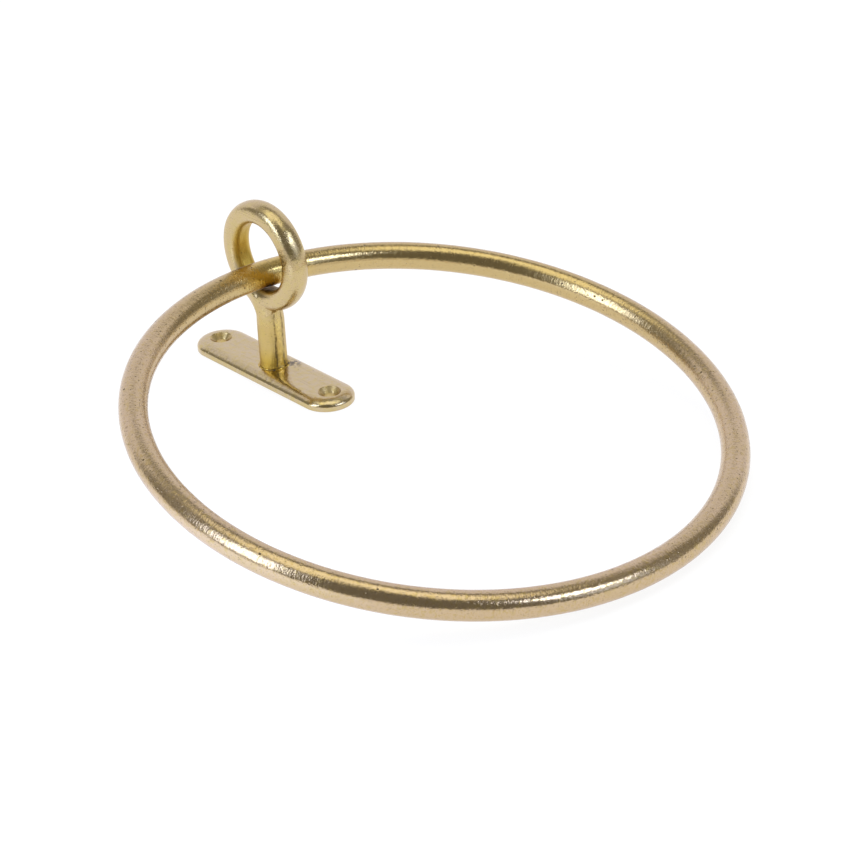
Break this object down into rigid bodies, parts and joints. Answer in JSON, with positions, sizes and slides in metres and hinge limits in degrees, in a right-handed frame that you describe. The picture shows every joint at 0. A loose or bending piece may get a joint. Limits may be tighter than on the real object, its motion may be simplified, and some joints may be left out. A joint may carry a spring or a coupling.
{
  "type": "towel ring",
  "caption": "Ring of round brass rod hanging loosely in the round eye of a small wall bracket, a post on a flat strip with round ends and countersunk screw holes.",
  "frame": {"origin": "centre of the backplate's back face, midway between the two screw holes", "axes": "+Z out of the wall along the post; Y along the backplate, with the ring hanging towards -Y; X along the eye's hole. The bracket lies on its back and the free side of the ring rests on the same surface, turned 5 degrees off square as it was set down"},
  "size_m": [0.1689, 0.1937, 0.054],
  "materials": {
    "bracket_brass": "cast yellow brass, hand polished, fine scratches",
    "ring_brass": "bent brass rod, polished over a faintly pitted skin",
    "braze_filler": "dull braze filler with dark flux stains"
  },
  "bodies": {
    "bracket": {"backplate": "bracket_brass", "eye_post": "bracket_brass", "foot_braze": "braze_filler"},
    "ring": {"ring_rod": "ring_brass", "ring_seam": "braze_filler"}
  },
  "joints": [
    {"name": "ring_swing", "type": "hinge", "parent": "bracket", "child": "ring", "pos_m": [0, 0, 0.0321], "axis": [-0.9954, 0.0834, 0.0471], "range_deg": [0, 199.7]}
  ]
}
